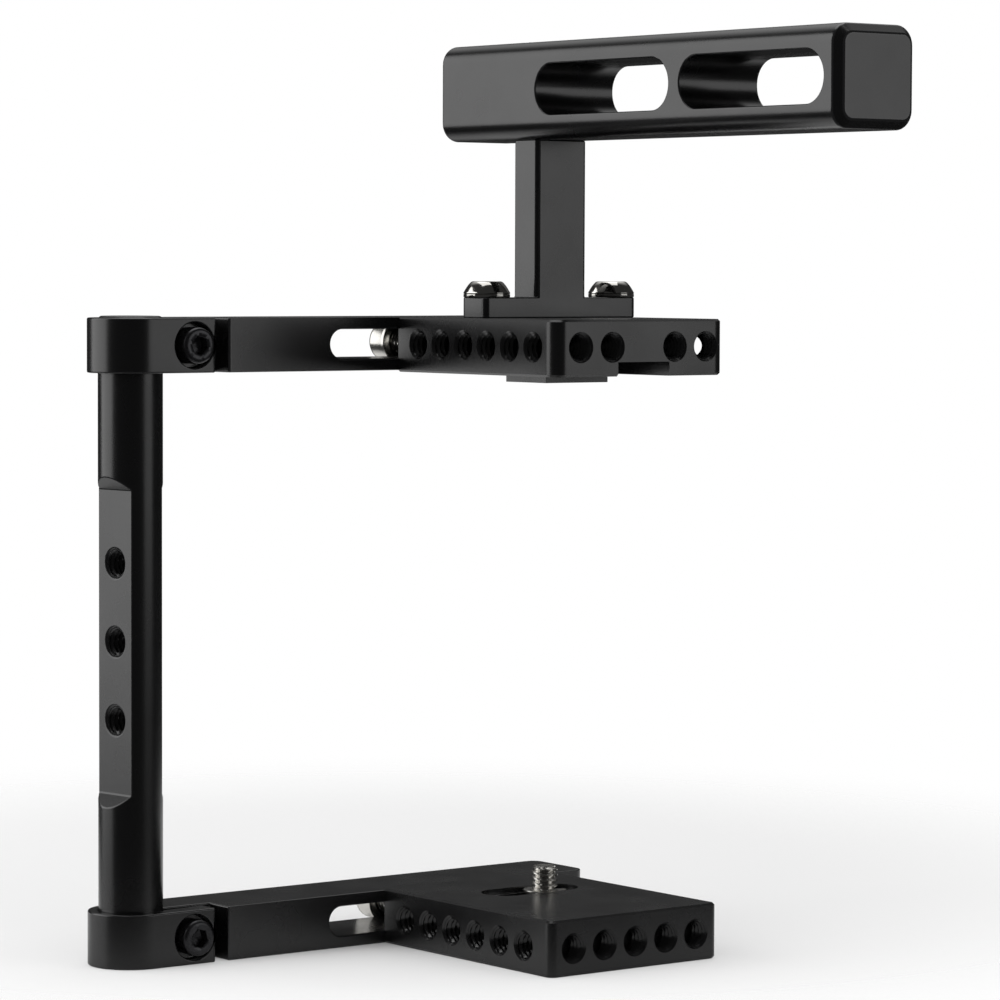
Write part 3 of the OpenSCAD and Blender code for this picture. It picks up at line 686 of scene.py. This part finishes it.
def slotted_disc(radius, thick, half_slot, deep, origin):
    """A disc with a screwdriver slot across its underside. At each y its section is a rectangle that
    reaches to x = root(radius squared - y squared), and its floor is deep higher where |y| < half_slot."""
    side = np.sin(np.linspace(0, 1, 13) * np.pi / 2)
    y = np.concatenate([-radius * side[::-1][:-3], [-half_slot, -half_slot, half_slot, half_slot],
                        radius * side[3:]])
    y = np.sort(y, kind="stable")
    inside = np.zeros(len(y), bool)
    first = np.flatnonzero(np.isclose(y, -half_slot))[1]
    last = np.flatnonzero(np.isclose(y, half_slot))[0]
    inside[first:last + 1] = True
    reach = np.sqrt(np.maximum(radius ** 2 - y ** 2, 0))
    floor = np.where(inside, deep, 0.0)
    across = np.linspace(-1, 1, 9)
    x = np.concatenate([reach[:, None] * across, reach[:, None] * across[::-1]], 1)
    z = np.concatenate([np.repeat(floor[:, None], 9, 1), np.full((len(y), 9), thick)], 1)
    points = np.stack([x, np.repeat(y[:, None], 18, 1), z], -1)
    ends = np.stack([points[0] * (0, 1, 1), points[-1] * (0, 1, 1)])
    points = np.concatenate([ends[:1], points, ends[1:]])
    return (points + np.array(origin)) * MM, False


def open_ring(outer_r, bore_r, thick, gap, origin):
    """A flat ring with a gap towards +X. Its section is a rectangle with soft corners, where the
    eighth powers of across and up add to one, and closes to a point in the flat of each end."""
    start = np.arcsin(gap / (outer_r + bore_r))
    angle = np.linspace(start, 2 * np.pi - start, 47)[[0, *range(47), 46]][:, None]
    grow = np.array([0, *[1] * 47, 0])[:, None]
    a = 2 * np.pi * np.arange(24) / 24
    reach = (np.abs(np.cos(a)) ** 8 + np.abs(np.sin(a)) ** 8) ** (-1 / 8)
    radius = (outer_r + bore_r) / 2 + grow * reach * np.cos(a) * (outer_r - bore_r) / 2
    height = thick / 2 * (1 + grow * reach * np.sin(a))
    points = np.stack([radius * np.cos(angle), radius * np.sin(angle), height], -1)
    return (points + np.array(origin)) * MM, False


class CAGE_OT_stage(Operator):
    """Lay the pale floor, hang the softboxes and stand the camera"""

    bl_idname = "cage.stage"
    bl_label = "Stage"

    def execute(self, context):
        scene, view = context.scene, context.scene.cage_view
        lay_floor(scene.cage_finish.floor)
        softbox("key_softbox", (-1.2, 0.9, 0.55), 1.7, 1.5, view.key)
        softbox("fill_softbox", (0.78, -1.2, 0.35), 0.9, 0.7, view.fill)
        softbox("top_softbox", (0.1, 0.25, 1.6), 1.2, 1.2, view.top)
        white_backdrop(scene)
        camera = bpy.data.objects.new("camera", bpy.data.cameras.new("camera"))
        scene.collection.objects.link(camera)
        camera.data.lens = view.lens
        camera.data.sensor_width = 36
        camera.data.clip_start, camera.data.clip_end = 0.01, 50
        azimuth, pitch, roll = (np.radians(a) for a in (view.azimuth, view.pitch, view.roll))
        ahead = Vector((np.sin(azimuth) * np.cos(pitch), np.cos(azimuth) * np.cos(pitch), -np.sin(pitch)))
        right = Vector((np.cos(azimuth), -np.sin(azimuth), 0))
        up = right.cross(ahead)
        x = right * np.cos(roll) + up * np.sin(roll)
        y = up * np.cos(roll) - right * np.sin(roll)
        camera.matrix_world = Matrix.Translation(view.place) @ Matrix((x, y, -ahead)).transposed().to_4x4()
        scene.camera = camera
        scene.view_settings.view_transform = "Standard"
        return {"FINISHED"}


def lay_floor(colour):
    """A round sheet of pale paper under the cage and behind it. From 0.1 to 0.27 m out from a point
    behind the cage it fades into the white backdrop, as a sheet does that is swept up behind."""
    angle = np.linspace(0, 2 * np.pi, 96, endpoint=False)
    ring = np.stack([np.cos(angle), np.sin(angle), np.full(96, -0.00005)], -1)
    mesh = bpy.data.meshes.new("studio_floor")
    mesh.from_pydata(ring, [], [list(range(96))])
    material, tree, output = new_material("studio_paper")
    place = node(tree, "ShaderNodeTexCoord").outputs["Object"]
    tooth = node(tree, "ShaderNodeTexNoise", {"Vector": place, "Scale": per_mm(1.5), "Detail": 3.0})
    relief = node(tree, "ShaderNodeBump", {
        "Height": tooth.outputs["Fac"], "Strength": 0.05, "Distance": 0.0001})
    shader = node(tree, "ShaderNodeBsdfPrincipled", {
        "Base Color": linear(colour), "Roughness": 0.9, "Normal": relief.outputs["Normal"]})
    radius = node(tree, "ShaderNodeVectorMath", {0: place, 1: (0.05, 0.15, 0)}, operation="DISTANCE")
    fade = node(tree, "ShaderNodeMapRange", {
        "Value": radius.outputs["Value"], "From Min": 0.1, "From Max": 0.27},
        interpolation_type="SMOOTHSTEP")
    clear = node(tree, "ShaderNodeBsdfTransparent")
    mix = node(tree, "ShaderNodeMixShader", {0: fade.outputs["Result"], 1: shader.outputs["BSDF"],
                                             2: clear.outputs["BSDF"]})
    tree.links.new(mix.outputs["Shader"], output.inputs["Surface"])
    mesh.materials.append(material)
    floor = bpy.data.objects.new("studio_floor", mesh)
    bpy.context.scene.collection.objects.link(floor)


def softbox(name, place, width, height, radiance):
    """A rectangular lamp that faces the cage. Its watts are radiance times pi times its area."""
    lamp = bpy.data.lights.new(name, "AREA")
    lamp.shape = "RECTANGLE"
    lamp.size, lamp.size_y = width, height
    lamp.energy = radiance * np.pi * width * height
    holder = bpy.data.objects.new(name, lamp)
    bpy.context.scene.collection.objects.link(holder)
    holder.location = place
    holder.rotation_mode = "QUATERNION"
    holder.rotation_quaternion = (Vector(place) - Vector((0, 0, 0.1))).to_track_quat("Z", "Y")
    holder.visible_camera = False


def white_backdrop(scene):
    """A white backdrop of strength 1 for what the camera sees and for what shows in metal from
    behind the cage. Metal sees the rest of the room nearly unlit, at 0.03. Diffuse light comes
    evenly from all round."""
    world = bpy.data.worlds.new("studio")
    scene.world = world
    world.use_nodes = True
    tree = world.node_tree
    tree.nodes.clear()
    output = node(tree, "ShaderNodeOutputWorld")
    path = node(tree, "ShaderNodeLightPath")
    way = node(tree, "ShaderNodeTexCoord").outputs["Generated"]
    # white towards the backdrop's middle, 55 degrees up behind the cage, and 0.03 from 41 degrees
    # away from it on
    behind = node(tree, "ShaderNodeVectorMath", {0: way, 1: (0.35, 0.45, 0.82)}, operation="DOT_PRODUCT")
    backdrop = node(tree, "ShaderNodeMapRange", {
        "Value": behind.outputs["Value"], "From Min": 0.75, "From Max": 1.0, "To Min": 0.03, "To Max": 1.0},
        interpolation_type="SMOOTHSTEP")
    glossy = node(tree, "ShaderNodeMath", {0: path.outputs["Is Glossy Ray"], 1: backdrop.outputs["Result"]},
                  operation="MULTIPLY")
    seen = node(tree, "ShaderNodeMath", {
        0: path.outputs["Is Camera Ray"], 1: path.outputs["Is Transmission Ray"]}, operation="MAXIMUM")
    shown = node(tree, "ShaderNodeMath", {0: seen.outputs["Value"], 1: glossy.outputs["Value"]},
                 operation="MAXIMUM")
    diffuse = node(tree, "ShaderNodeMath", {0: path.outputs["Is Diffuse Ray"], 1: 0.65}, operation="MULTIPLY")
    strength = node(tree, "ShaderNodeMath", {0: shown.outputs["Value"], 1: diffuse.outputs["Value"]},
                    operation="MAXIMUM")
    light = node(tree, "ShaderNodeBackground", {"Color": (1, 1, 1, 1), "Strength": strength.outputs["Value"]})
    tree.links.new(light.outputs["Background"], output.inputs["Surface"])


class CAGE_PT_pieces(Panel):
    """Lists what can be built"""

    bl_idname = "CAGE_PT_pieces"
    bl_label = "Camera half cage"
    bl_space_type = "VIEW_3D"
    bl_region_type = "UI"
    bl_category = "Cage"

    def draw(self, context):
        for group in (context.scene.cage_edges, context.scene.cage_finish, context.scene.cage_view):
            for name in group.__annotations__:
                self.layout.prop(group, name)
        for piece in PIECES:
            self.layout.operator(piece.bl_idname)


PIECES = (CAGE_OT_arms, CAGE_OT_rod, CAGE_OT_plates, CAGE_OT_hole_threads, CAGE_OT_clamp_screws,
          CAGE_OT_lock_screws, CAGE_OT_post, CAGE_OT_grip, CAGE_OT_foot_screws, CAGE_OT_shoe,
          CAGE_OT_camera_screw, CAGE_OT_stage)
CLASSES = (CageEdges, CageFinish, CageView, *PIECES, CAGE_PT_pieces)
GROUPS = {"cage_edges": CageEdges, "cage_finish": CageFinish, "cage_view": CageView}


def register():
    for made in CLASSES:
        bpy.utils.register_class(made)
    for name, group in GROUPS.items():
        setattr(bpy.types.Scene, name, PointerProperty(type=group))


def unregister():
    for name in GROUPS:
        delattr(bpy.types.Scene, name)
    for made in reversed(CLASSES):
        bpy.utils.unregister_class(made)


def main():
    register()
    for piece in PIECES:
        group, name = piece.bl_idname.split(".")
        getattr(getattr(bpy.ops, group), name)()


if __name__ == "__main__":
    main()
